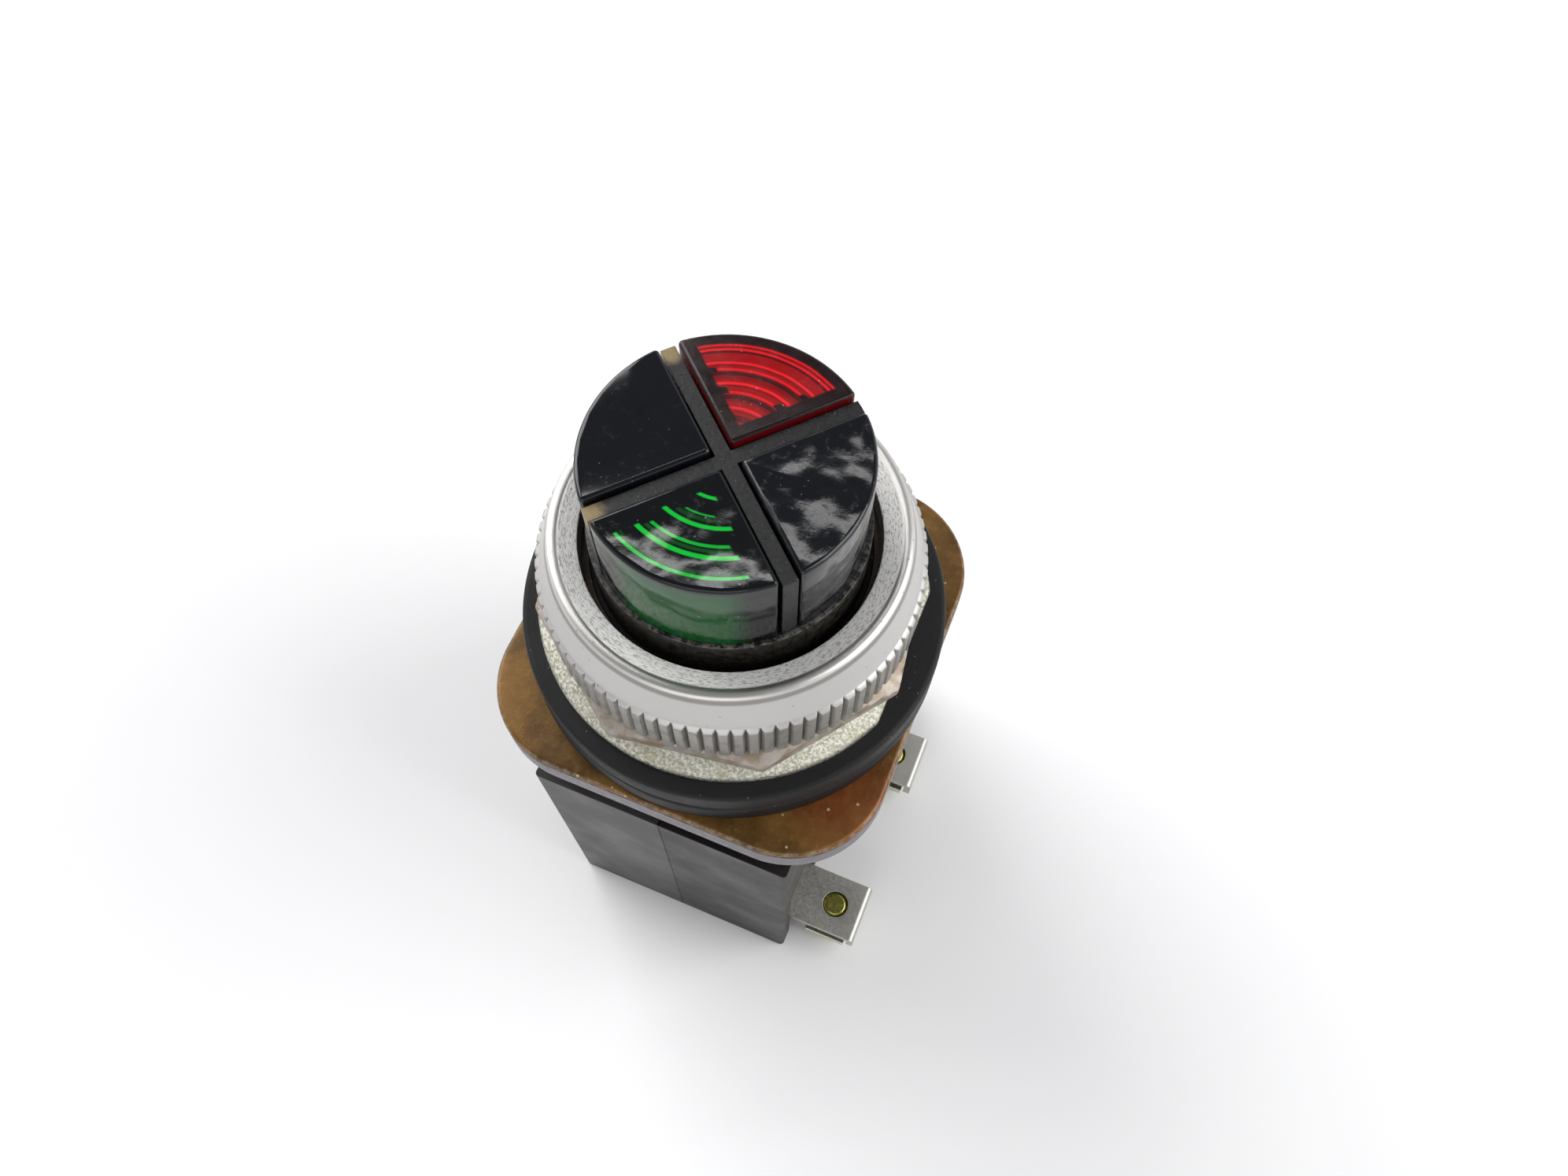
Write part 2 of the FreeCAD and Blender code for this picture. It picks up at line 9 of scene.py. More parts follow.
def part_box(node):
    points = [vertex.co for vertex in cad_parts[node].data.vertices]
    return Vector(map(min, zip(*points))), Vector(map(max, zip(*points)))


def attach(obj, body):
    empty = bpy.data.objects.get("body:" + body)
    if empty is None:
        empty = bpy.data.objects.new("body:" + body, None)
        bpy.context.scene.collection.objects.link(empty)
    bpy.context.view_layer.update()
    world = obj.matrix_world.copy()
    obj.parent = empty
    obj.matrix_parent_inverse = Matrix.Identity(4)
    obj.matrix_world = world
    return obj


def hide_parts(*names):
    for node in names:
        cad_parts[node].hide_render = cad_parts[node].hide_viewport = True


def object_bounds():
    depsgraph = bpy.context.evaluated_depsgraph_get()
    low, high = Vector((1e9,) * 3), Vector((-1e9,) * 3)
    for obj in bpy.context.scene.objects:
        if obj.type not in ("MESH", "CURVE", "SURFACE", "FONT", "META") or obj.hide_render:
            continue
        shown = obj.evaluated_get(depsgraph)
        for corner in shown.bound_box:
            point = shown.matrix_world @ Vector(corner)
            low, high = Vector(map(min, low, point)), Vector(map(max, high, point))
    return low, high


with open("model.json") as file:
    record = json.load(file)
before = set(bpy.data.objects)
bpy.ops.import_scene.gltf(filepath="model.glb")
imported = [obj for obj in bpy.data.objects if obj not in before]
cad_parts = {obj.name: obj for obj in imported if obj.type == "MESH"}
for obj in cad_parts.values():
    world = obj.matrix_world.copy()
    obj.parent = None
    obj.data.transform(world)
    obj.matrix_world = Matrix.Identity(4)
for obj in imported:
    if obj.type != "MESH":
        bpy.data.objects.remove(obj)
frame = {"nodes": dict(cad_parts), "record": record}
cad_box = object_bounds()

# Cluster pilot light: a round head of four lens segments over a knurled ring nut, a dished washer,
# two rubber gaskets, a chromated square plate and a two-part phenolic housing with screw terminals.
# Lengths are in millimetres until a mesh is written; Z is the axis of the bushing.
MM = 0.001
FULL_TURN = 2 * math.pi
RIGHT_ANGLE = math.pi / 2


def span(node, axis):
    """Lowest and highest coordinate of a CAD node along one axis, in millimetres."""
    low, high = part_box(node)
    return low[axis] / MM, high[axis] / MM


# ---- heights and radii read from the frame
ring_low, ring_high = span("mounting_ring", 2)
washer_low, washer_high = span("trim_washer", 2)
lower_gasket_low, lower_gasket_high = span("gasket_lower", 2)
upper_gasket_low, upper_gasket_high = span("gasket_upper", 2)
plate_low, bushing_high = span("base_casting", 2)
lens_high = span("lens_red", 2)[1]
gasket_radius = span("gasket_upper", 0)[1]
washer_radius = span("trim_washer", 1)[1]
washer_flat = span("trim_washer", 0)[1]
plate_half_x = span("base_casting", 0)[1]
plate_half_y = span("base_casting", 1)[1]

# ---- the head and its turn about the axis
head_turn = math.radians(2.5)
head_radius = 12.5
head_step_height = 72.4

# ---- ring nut
ring_radius = 18.5
ring_opening = 14.0
ring_bore = 15.06
ring_bore_depth = 8.78
bead_middle = 16.2
bead_radius = 0.75
knurl_teeth = 86
knurl_depth = 0.45
knurl_notch = 0.62
knurl_neck = ring_radius - knurl_depth - 0.06
knurl_chamfer = 0.4
knurl_low = ring_low + 1.9
knurl_high = ring_low + 7.5
throat_edge = 15.85
cone_edge = 16.75
throat_high = ring_high - 0.63
octagon_corner = 19.7
octagon_turn = math.radians(-13.8)
octagon_chamfer = 1.0

# ---- washer, gaskets, plate and bushing
washer_bore = 15.3
washer_shoulder = 17.6
washer_sheet = 1.2
gasket_bore = 15.3
gasket_lip = 0.55
plate_high = plate_low + 4.0
plate_corner = 10.2
plate_edge = 0.5
skin_line = plate_high - 0.8
bushing_radius = 15.0
bushing_bore = 13.25
thread_pitch = 1.5
thread_depth = 0.6
thread_fade = 0.8
socket_hole = 10.9


# ---- meshes

def place_in_scene(name, mesh, crease):
    """New object for a mesh, smooth but for the edges sharper than the crease angle."""
    mesh.shade_smooth()
    mesh.set_sharp_from_angle(angle=math.radians(crease))
    piece = bpy.data.objects.new(name, mesh)
    bpy.context.scene.collection.objects.link(piece)
    return piece


def closed_band(name, points, crease):
    """Ring-shaped skin: a grid of rows by columns that closes on itself both ways.
    Each face joins a point to its neighbours in the next column and the next row, so a
    profile that runs anticlockwise (outwards at the bottom, up outside) faces outwards."""
    rows, columns = points.shape[:2]
    row, column = np.meshgrid(np.arange(rows), np.arange(columns), indexing="ij")
    next_row, next_column = (row + 1) % rows, (column + 1) % columns
    faces = np.stack([row * columns + column, row * columns + next_column,
                      next_row * columns + next_column, next_row * columns + column], axis=-1)
    mesh = bpy.data.meshes.new(name)
    mesh.from_pydata((points.reshape(-1, 3) * MM).tolist(), [], faces.reshape(-1, 4).tolist())
    mesh.validate()
    return place_in_scene(name, mesh, crease)


def turned_points(radius, height, angle):
    """Radius and height (rows by columns) swept to x = r cos a, y = r sin a."""
    radius = np.broadcast_to(radius, np.broadcast_shapes(radius.shape, height.shape))
    height = np.broadcast_to(height, radius.shape)
    return np.stack([radius * np.cos(angle), radius * np.sin(angle), height], axis=-1)


def circle_row(radius, height, angle):
    """One row of points on a level circle, at the given bearings."""
    return np.stack([radius * np.cos(angle), radius * np.sin(angle), np.full(len(angle), height)], axis=-1)


def rounded_profile(corners, fillets, steps):
    """Closed (radius, height) profile with each corner rounded by an arc of its own radius.
    An arc is drawn as a quadratic curve between the two tangent points."""
    corners = np.array(corners, float)
    before, after = np.roll(corners, 1, axis=0), np.roll(corners, -1, axis=0)
    share = np.linspace(0, 1, steps)[None, :, None]
    back = (before - corners) / np.linalg.norm(before - corners, axis=1)[:, None]
    ahead = (after - corners) / np.linalg.norm(after - corners, axis=1)[:, None]
    reach = np.array(fillets, float)[:, None]
    enter, leave = (corners + back * reach)[:, None], (corners + ahead * reach)[:, None]
    curve = (1 - share) ** 2 * enter + 2 * share * (1 - share) * corners[:, None] + share ** 2 * leave
    return curve.reshape(-1, 2)


def foot_profile():
    """(radius, height) of the octagonal foot, from the bore outwards and up to the neck of the
    knurl. The rows at `beyond` lie outside the octagon, which cuts them all."""
    beyond = 25.0
    return [(ring_bore + 0.3, ring_low), (16.6, ring_low), (17.6, ring_low), (beyond, ring_low),
            (beyond, ring_low + 0.06), (beyond, ring_low + 0.4), (beyond, knurl_low - octagon_chamfer),
            (19.4, knurl_low - 0.82), (18.9, knurl_low - 0.52), (18.45, knurl_low - 0.24),
            (knurl_neck + 0.08, knurl_low - 0.02)]


def knurl_profile():
    """(radius, height) of the knurled band at the crest of a tooth, with the chamfer above it."""
    return [(knurl_neck, knurl_low + 0.02), (ring_radius - 0.05, knurl_low + 0.04),
            (ring_radius, knurl_low + 0.1), (ring_radius, knurl_low + 2), (ring_radius, knurl_high - 1.2),
            (ring_radius, knurl_high - 0.03), (ring_radius - 0.03, knurl_high + 0.02),
            (ring_radius - 0.2, knurl_high + 0.2),
            (ring_radius - knurl_chamfer + 0.03, knurl_high + knurl_chamfer - 0.04),
            (ring_radius - knurl_chamfer - 0.03, knurl_high + knurl_chamfer)]


def front_profile():
    """(radius, height) of the front: a straight cone up to the bead, the bead as part of a circle,
    and a straight cone down into the throat."""
    turn = np.radians(np.arange(15, 121, 7))
    bead = np.stack([bead_middle + bead_radius * np.cos(turn),
                     ring_high - bead_radius + bead_radius * np.sin(turn)], axis=-1)
    share = np.linspace(0, 1, 8)[:, None]
    cone_start = np.array([knurl_neck + 0.02, knurl_high + knurl_chamfer + 0.06])
    outer_cone = cone_start + (bead[0] - cone_start) * share[:-1]
    throat_edge = np.array([ring_opening + 0.12, throat_high])
    inner_cone = bead[-1] + (throat_edge - bead[-1]) * share[1:]
    return np.concatenate([outer_cone, bead, inner_cone]).tolist()


def bore_profile():
    """(radius, height) of the throat, the step under it and the bore, from the front down."""
    bore_high = ring_low + ring_bore_depth
    return [(ring_opening + 0.03, throat_high - 0.05), (ring_opening, throat_high - 0.15),
            (ring_opening, (throat_high + bore_high) / 2), (ring_opening, bore_high + 0.1),
            (ring_opening + 0.1, bore_high), (ring_bore - 0.03, bore_high), (ring_bore, bore_high - 0.05),
            (ring_bore, (ring_low + bore_high) / 2), (ring_bore, ring_low + 0.3)]


def ring_nut():
    """Ring nut. Each row of the profile is swept round, at the same thirteen places in every tooth.
    The foot's rows are cut to an octagon, apothem / cos(angle from the middle of the flat), with its
    corners just trimmed. The knurl's rows are cut to the crest radius less a V notch at every tooth."""
    tooth_share = np.array([0.0, 0.10, 0.20, 0.229, 0.25, 0.30, 0.42, 0.58, 0.70, 0.75, 0.771, 0.80, 0.90])
    angle = ((np.arange(knurl_teeth)[:, None] + tooth_share) / knurl_teeth * FULL_TURN).ravel()
    tooth_length = FULL_TURN * ring_radius / knurl_teeth
    from_notch = np.abs((angle * knurl_teeth / FULL_TURN + 0.5) % 1 - 0.5) * tooth_length
    notched = ring_radius - knurl_depth * np.clip(1 - from_notch / (knurl_notch / 2), 0, 1)
    half_side = math.pi / 8
    from_flat = (angle - octagon_turn) % (2 * half_side) - half_side
    octagon = octagon_corner * math.cos(half_side) / np.cos(from_flat)
    octagon = np.minimum(octagon, octagon_corner - 0.08)

    foot, knurl = foot_profile(), knurl_profile()
    profile = np.array(foot + knurl + front_profile() + bore_profile())
    row = np.arange(len(profile))[:, None]
    is_foot = row < len(foot)
    is_knurl = ~is_foot & (row < len(foot) + len(knurl))
    radius = np.repeat(profile[:, :1], len(angle), axis=1)
    radius = np.where(is_foot, np.minimum(radius, octagon), radius)
    radius = np.where(is_knurl, np.minimum(radius, notched), radius)
    return closed_band("ring_nut", turned_points(radius, profile[:, 1:], angle), crease=28)


def dished_washer():
    """Sheet washer: flat round the bore, then a cone down to the rim. Rows run outwards as a share of
    the way to the rim, and the rim is a circle cut by two flats, the smaller of R and flat / |cos a|."""
    angle = np.linspace(0, FULL_TURN, 360, endpoint=False)
    rim = np.minimum(washer_radius, washer_flat / np.maximum(np.abs(np.cos(angle)), 1e-6))
    share = np.linspace(0, 1, 26)[:, None]
    radius = washer_bore + share * (rim - washer_bore)
    crown = washer_high
    brim = washer_low + washer_sheet
    edge = 0.12
    top_radius = [washer_bore, washer_bore + edge, washer_shoulder - 0.5, washer_shoulder,
                  washer_shoulder + 0.4, washer_radius - 2 * edge, washer_radius]
    top_height = [crown - 0.1, crown, crown, crown - 0.06, crown - 0.26, brim, brim - 2 * edge]
    low_radius = [washer_bore, washer_shoulder, washer_radius - washer_sheet, washer_radius]
    low_height = [crown - washer_sheet, crown - washer_sheet, washer_low, washer_low]
    top = np.interp(radius, top_radius, top_height)
    low = np.interp(radius, low_radius, low_height)
    wall_radius = rim - np.array([edge, 0.0, 0.0])[:, None]
    wall_height = np.stack([low[-1], low[-1] + edge, low[-1] + top[-1] - low[-1] - edge])
    radius_rows = np.concatenate([radius[:-1], wall_radius, radius[:-1][::-1]])
    height_rows = np.concatenate([low[:-1], wall_height, top[:-1][::-1]])
    return closed_band("dished_washer", turned_points(radius_rows, height_rows, angle), crease=40)


def rubber_gasket(name, low, high):
    """Moulded rubber ring: a round-cornered rectangle turned about the axis, its outer wall
    swollen by a few hundredths of a millimetre at mid height and wavering by half as much."""
    angle = np.linspace(0, FULL_TURN, 360, endpoint=False)
    wall = gasket_radius - 0.1
    middle = (low + high) / 2
    profile = rounded_profile(
        [(gasket_bore, low), (wall, low), (wall, middle), (wall, high), (gasket_bore, high)],
        [0.1, gasket_lip, 0.8, gasket_lip, 0.1], steps=7)
    radius, height = profile[:, :1], profile[:, 1:]
    swell = np.sin(np.clip((height - low) / (high - low), 0, 1) * math.pi) * 0.06
    outside = radius > gasket_radius - 1.5
    waver = 0.03 * np.sin(angle * 5 + low) * np.cos(angle * 3)
    return closed_band(name, turned_points(radius + outside * (swell + waver), height, angle), crease=50)


def plate_outline(inset, arc_count=40, side_count=30):
    """Rounded square, anticlockwise: for each corner an arc of a quarter turn, then the straight
    side to the next corner cut into equal lengths."""
    turn = np.linspace(0, RIGHT_ANGLE, arc_count)
    corner = plate_corner - inset
    middle = np.array([plate_half_x - plate_corner, plate_half_y - plate_corner])
    arcs_of_plate = []
    for number, side in enumerate(((1, 1), (-1, 1), (-1, -1), (1, -1))):
        bearing = turn + number * RIGHT_ANGLE
        arc = corner * np.stack([np.cos(bearing), np.sin(bearing)], axis=-1)
        arcs_of_plate.append(middle * side + arc)
    share = np.linspace(0, 1, side_count)[1:-1, None]
    parts = []
    for number, arc in enumerate(arcs_of_plate):
        following = arcs_of_plate[(number + 1) % 4]
        parts += [arc, arc[-1] + (following[0] - arc[-1]) * share]
    return np.concatenate(parts)


def plate_rows(count):
    """Rows of the plate's wall and upper edge, each its outline set in by a distance: a small round
    at the bottom, a shallow groove along the line of the skin, and a quarter round at the top."""
    edge_turn = np.radians(np.arange(0, 91, 15))
    edge_inset = plate_edge * (1 - np.cos(edge_turn))
    edge_height = plate_high - plate_edge + plate_edge * np.sin(edge_turn)
    wall = [(0.25, plate_low), (0.05, plate_low + 0.05), (0.0, plate_low + 0.25), (0.0, plate_low + 1.4),
            (0.0, skin_line - 0.14), (0.05, skin_line - 0.10), (0.09, skin_line), (0.05, skin_line + 0.10)]
    wall += list(zip(edge_inset, edge_height)) + [(1.2, plate_high)]
    return [np.column_stack([plate_outline(inset), np.full(count, height)]) for inset, height in wall]


def thread_rows(angle):
    """Rows of the bushing's outer wall: its radius less a triangle wave of height less one pitch a
    turn, which makes a helical thread that fades out at both ends."""
    low, high = plate_high + 0.6, bushing_high - 0.7
    height = np.linspace(plate_high, bushing_high - thread_depth, 100)[:, None]
    phase = ((height - angle / FULL_TURN * thread_pitch) / thread_pitch) % 1
    groove = np.clip(1 - np.abs(phase - 0.5) / 0.42, 0, 1) * thread_depth
    fade = np.clip((height - low) / thread_fade, 0, 1) * np.clip((high - height) / thread_fade, 0, 1)
    return turned_points(bushing_radius - groove * fade, height, angle)


def chromated_base():
    """Plate and bushing as one skin. Rows on the plate follow its rounded-square outline, set in by a
    given distance; rows on the bushing follow circles at the same bearings."""
    outline = plate_outline(0.0)
    angle = np.arctan2(outline[:, 1], outline[:, 0])
    below = [circle_row(socket_hole, plate_low, angle), circle_row(14.0, plate_low, angle)]
    above = [circle_row(17.0, plate_high, angle), circle_row(bushing_radius, plate_high, angle)]
    inside = [(bushing_radius - thread_depth, bushing_high), (bushing_bore + 0.1, bushing_high),
              (bushing_bore, bushing_high - 0.1), (bushing_bore, plate_high), (socket_hole, plate_high)]
    inner = [circle_row(radius, height, angle) for radius, height in inside]
    outer = np.array(below + plate_rows(len(angle)) + above)
    points = np.concatenate([outer, thread_rows(angle)[1:], np.array(inner)])
    return closed_band("chromated_base", points, crease=35)


def rounding(piece, width):
    """Rounds the hard edges of a piece by a bevel of the given width in millimetres."""
    bevel = piece.modifiers.new("edge rounding", "BEVEL")
    bevel.width = width * MM
    bevel.segments = 2
    bevel.limit_method = "ANGLE"
    bevel.angle_limit = math.radians(40)
    bevel.harden_normals = True
    bevel.use_clamp_overlap = True


def soft_copy(node, edge_width, flat_angle=0.5):
    """Copy of a CAD node's mesh with its doubles merged and flat faces joined, smooth shaded, with
    its hard edges rounded to the given width in millimetres."""
    mesh = frame["nodes"][node].data.copy()
    mesh.name = node + "_soft"
    mesh.materials.clear()
    work = bmesh.new()
    work.from_mesh(mesh)
    bmesh.ops.remove_doubles(work, verts=work.verts, dist=2e-6)
    bmesh.ops.dissolve_limit(work, angle_limit=math.radians(flat_angle),
                             verts=work.verts, edges=work.edges)
    work.to_mesh(mesh)
    work.free()
    if "custom_normal" in mesh.attributes:
        mesh.attributes.remove(mesh.attributes["custom_normal"])
    piece = place_in_scene(node + "_soft", mesh, crease=30)
    if edge_width:
        rounding(piece, edge_width)
    return piece


# ---- nodes

# The node kinds that the finishes use: the name they call them by, the type, and its settings.
NODE_KINDS = {
    "coordinates": ("ShaderNodeTexCoord", {}),
    "mapping": ("ShaderNodeMapping", {}),
    "noise": ("ShaderNodeTexNoise", {}),
    "cells": ("ShaderNodeTexVoronoi", {}),
    "bump": ("ShaderNodeBump", {}),
    "blend": ("ShaderNodeMix", {"data_type": "RGBA"}),
    "step": ("ShaderNodeMapRange", {"interpolation_type": "SMOOTHSTEP"}),
    "plus": ("ShaderNodeMath", {"operation": "ADD"}),
    "minus": ("ShaderNodeMath", {"operation": "SUBTRACT"}),
    "times": ("ShaderNodeMath", {"operation": "MULTIPLY"}),
    "over": ("ShaderNodeMath", {"operation": "DIVIDE"}),
    "least": ("ShaderNodeMath", {"operation": "MINIMUM"}),
    "absolute": ("ShaderNodeMath", {"operation": "ABSOLUTE"}),
    "red part": ("ShaderNodeSeparateColor", {}),
    "parts": ("ShaderNodeSeparateXYZ", {}),
    "point": ("ShaderNodeCombineXYZ", {}),
    "point plus": ("ShaderNodeVectorMath", {"operation": "ADD"}),
    "point times": ("ShaderNodeVectorMath", {"operation": "MULTIPLY"}),
    "direction": ("ShaderNodeVectorMath", {"operation": "NORMALIZE"}),
    "length": ("ShaderNodeVectorMath", {"operation": "LENGTH"}),
    "distance": ("ShaderNodeVectorMath", {"operation": "DISTANCE"}),
}
NORMAL_OUTPUT, OBJECT_OUTPUT = 1, 3


def linear(code):
    """sRGB hex colour as linear red, green, blue and an alpha of one."""
    values = [int(code[i:i + 2], 16) / 255 for i in (1, 3, 5)]
    return tuple(v / 12.92 if v <= 0.04045 else ((v + 0.055) / 1.055) ** 2.4 for v in values) + (1.0,)


def put(tree, value, socket):
    """Gives an input its value: another socket is linked to it, a hex colour is made linear, and
    anything else is set as it is."""
    if isinstance(value, bpy.types.NodeSocket):
        tree.links.new(value, socket)
    else:
        socket.default_value = linear(value) if isinstance(value, str) else value


def add(tree, kind, *values, out=0, **named):
    """Adds a node of a kind in the table, with its settings. Values go to its usable inputs in order
    and named ones to the input of that name. Gives one of its usable outputs."""
    node_type, settings = NODE_KINDS[kind]
    made = tree.nodes.new(node_type)
    for key, value in settings.items():
        setattr(made, key, value)
    for socket, value in zip([socket for socket in made.inputs if socket.enabled], values):
        put(tree, value, socket)
    for key, value in named.items():
        put(tree, value, made.inputs[key])
    return [socket for socket in made.outputs if socket.enabled][out]


def feed(material, **values):
    """Links or sets inputs of the material's shader; _ in a name stands for a blank."""
    shader = material.node_tree.nodes["Principled BSDF"]
    for name, value in values.items():
        put(material.node_tree, value, shader.inputs[name.replace("_", " ")])


def surface(name, **values):
    """New material with the given shader values: its tree, and the place on the piece in millimetres."""
    material = bpy.data.materials.new(name)
    material.use_nodes = True
    tree = material.node_tree
    feed(material, **values)
    corner = add(tree, "coordinates", out=OBJECT_OUTPUT)
    return material, tree, add(tree, "point times", corner, (1 / MM,) * 3)


# ---- patterns

def paint(tree, base, colour, mask, share=1.0):
    """The base with a hex colour, or a colour socket, over it where the mask is 1, to a share."""
    return add(tree, "blend", add(tree, "times", mask, share), base, colour)


def off_axis(tree, place):
    """Distance from the axis of the bushing, in millimetres."""
    return add(tree, "length", add(tree, "point times", place, (1, 1, 0)))


def facing_up(tree):
    """Upward part of the surface direction on the piece at rest: 1 on top, 0 on a wall."""
    return add(tree, "parts", add(tree, "coordinates", out=NORMAL_OUTPUT), out=2)


def around(tree, place, radius, along, across):
    """Place with the turn stretched: one unit every `along` millimetres round the axis, at the
    ring's radius, and every `across` millimetres outwards, with no break where the turn closes."""
    middle_radius = 16
    heading = add(tree, "direction", add(tree, "point times", place, (1, 1, 0)))
    wide = add(tree, "point times", heading, (middle_radius / along,) * 3)
    outward = add(tree, "point", 0.0, 0.0, add(tree, "over", radius, across))
    return add(tree, "point plus", wide, outward)


def specks(tree, place, size, share):
    """Scattered dots: 1 inside a dot. Size is the cell in millimetres, share the dot's part of it,
    and about a third of the cells have one."""
    distance = add(tree, "cells", place, 1 / size)
    dot = add(tree, "step", distance, share, share * 0.4)
    chosen = add(tree, "step", add(tree, "red part", distance.node.outputs["Color"]), 0.62, 0.66)
    return add(tree, "times", dot, chosen)


def cross_distance(tree, place, middle):
    """Distance into a segment from the nearer of the two arms of the cross that bound it. The
    segment's middle is at the given angle, and the distance is 0 on the line through the axis."""
    turn = math.pi / 4 - middle - head_turn
    turned = add(tree, "mapping", place, Rotation=(0.0, 0.0, turn))
    first = add(tree, "parts", turned)
    return add(tree, "least", first, first.node.outputs[1])


def arcs(tree, radius, lines):
    """Sum of soft-edged rings, each given as radius, half width and brightness."""
    total = 0.0
    for middle, half, share in lines:
        off = add(tree, "absolute", add(tree, "minus", radius, middle))
        total = add(tree, "plus", total, add(tree, "step", off, half + 0.07, half - 0.05, 0.0, share))
    return total


def face_height(tree, place, near):
    """Height of a glossy segment top, as a share of the bump's depth: sunk away from the cross as
    thick mouldings are, wavy over a few millimetres, and pocked by handling."""
    waves = add(tree, "noise", place, 1 / 3.6, 1.2, 0.4)
    pocks = add(tree, "times", add(tree, "noise", place, 1 / 0.45, 5, 0.7), 0.03)
    sink = add(tree, "step", near, 1.2, 5.5, 0.4, 0.0)
    return add(tree, "plus", add(tree, "plus", waves, pocks), sink)


# ---- finishes of the metal pieces

def ring_zones(tree, radius, height):
    """Masks of the ring nut's throat cone, knurled band and octagonal foot."""
    throat = add(tree, "times", add(tree, "step", radius, throat_edge, throat_edge - 0.25),
                 add(tree, "step", height, ring_high - 1.2, ring_high - 0.8))
    foot = add(tree, "step", height, knurl_low + 0.1, knurl_low - 0.1)
    band = add(tree, "step", height, knurl_high + 0.1, knurl_high)
    return throat, add(tree, "times", band, add(tree, "minus", 1.0, foot)), foot


def ring_front_colour(tree, radius, height, throat, stain, pits):
    """Silver bead, a greyer outer cone with a dark line of painted shade in the crease under the bead, and
    a bright, pitted throat.
    """
    base = add(tree, "blend", stain, "#DCDAD7", "#CFCCC8")
    cone = add(tree, "times", add(tree, "step", radius, cone_edge, cone_edge + 0.25),
               add(tree, "step", height, ring_high - 0.6, ring_high - 0.9))
    base = paint(tree, base, "#C4C2BF", cone)
    # Painted shade: a dark line in the crease where the bead meets the outer cone.
    from_crease = add(tree, "absolute", add(tree, "minus", radius, cone_edge + 0.18))
    crease_shade = add(tree, "times", add(tree, "step", from_crease, 0.16, 0.04),
               add(tree, "step", height, ring_high - 1.3, ring_high - 1.0))
    base = paint(tree, base, "#6A645F", crease_shade, 0.7)
    base = paint(tree, base, "#F0EFEC", throat)
    pitted = add(tree, "times", throat, add(tree, "step", pits, 0.5, 0.4))
    return paint(tree, base, "#8E8C86", pitted, 0.75)


def ring_grip_colour(tree, place, base, radius, stain, knurl, foot):
    """Over the front's colour: dirt and painted shade in the notches, the knurl greyer and blotched,
    tan stains on the foot and a few dark specks."""
    # Dirt and painted shade: the notches darker towards their bottoms.
    notch = add(tree, "times", knurl, add(tree, "step", radius, ring_radius - 0.08, ring_radius - 0.4))
    base = paint(tree, base, "#56524C", notch, 0.6)
    base = paint(tree, base, "#8A8782", knurl, 0.5)
    blotch = add(tree, "step", add(tree, "noise", place, 1 / 1.3, 4, 0.6), 0.48, 0.62)
    base = paint(tree, base, "#8B857C", add(tree, "times", knurl, blotch), 0.55)
    tan = add(tree, "blend", add(tree, "step", stain, 0.42, 0.62), "#B0A79E", "#8F7F6A")
    base = paint(tree, base, tan, foot, 0.9)
    return paint(tree, base, "#6F6B66", specks(tree, place, 0.9, 0.16), 0.5)


def turned_aluminium():
    """Satin turned aluminium of the ring: the throat cone is pitted and sparkles, the bead is the
    smoothest, the outer cone is an even satin, and the foot is duller and stained tan. The tool
    marks are about 0.05 mm apart, too fine to show, so they are drawn twice as far apart."""
    material, tree, place = surface("aluminium_turned_satin")
    radius = off_axis(tree, place)
    height = add(tree, "parts", place, out=2)
    throat, knurl, foot = ring_zones(tree, radius, height)
    pits = add(tree, "noise", around(tree, place, radius, 0.55, 0.11), 1.0, 5, 0.7)
    stain = add(tree, "noise", place, 1 / 2.2, 5, 0.6)
    base = ring_front_colour(tree, radius, height, throat, stain, pits)
    base = ring_grip_colour(tree, place, base, radius, stain, knurl, foot)
    rough = add(tree, "plus", 0.36, add(tree, "times", throat, 0.1))
    rough = add(tree, "plus", rough, add(tree, "times", foot, 0.16))
    on_cone = add(tree, "step", radius, cone_edge + 0.05, cone_edge + 0.35)
    rough = add(tree, "plus", rough, add(tree, "times", on_cone, 0.04))
    grain = add(tree, "times", pits, add(tree, "plus", throat, 0.05))
    feed(material, Base_Color=base, Roughness=rough,
         Metallic=add(tree, "minus", 1.0, add(tree, "times", throat, 0.8)),
         Normal=add(tree, "bump", Height=grain, Distance=0.07 * MM))
    return material


def zinc_plate():
    """Dull zinc plate of the washer: coarse crystal grain that glitters olive and gold."""
    material, tree, place = surface("zinc_plated_steel_grainy", Metallic=1.0)
    grain = add(tree, "noise", place, 1 / 0.32, 6, 0.75)
    patch = add(tree, "noise", place, 1 / 2.6, 4, 0.55)
    base = add(tree, "blend", add(tree, "step", grain, 0.40, 0.62), "#A09E8C", "#E6E5DA")
    base = paint(tree, base, "#ABA27A", add(tree, "step", patch, 0.5, 0.68), 0.28)
    base = paint(tree, base, "#6E6A58", specks(tree, place, 0.8, 0.18), 0.5)
    feed(material, Base_Color=base, Roughness=add(tree, "step", grain, 0.35, 0.65, 0.30, 0.55),
         Normal=add(tree, "bump", Height=grain, Distance=0.10 * MM))
    return material


def plate_top_colour(tree, place, broad, fine):
    """Golden brown and mottled, redder at the front right corner, with pale specks."""
    red_corner = (17.0, -13.5, plate_high)
    top = add(tree, "blend", add(tree, "step", broad, 0.36, 0.64), "#553A12", "#7E5B28")
    top = paint(tree, top, "#94713C", add(tree, "step", fine, 0.5, 0.7), 0.3)
    ragged = add(tree, "plus", add(tree, "distance", place, red_corner), add(tree, "times", broad, 4.0))
    top = paint(tree, top, "#82360F", add(tree, "step", ragged, 10.5, 2.5), 0.62)
    return paint(tree, top, "#D8C49A", specks(tree, place, 1.3, 0.16), 0.8)


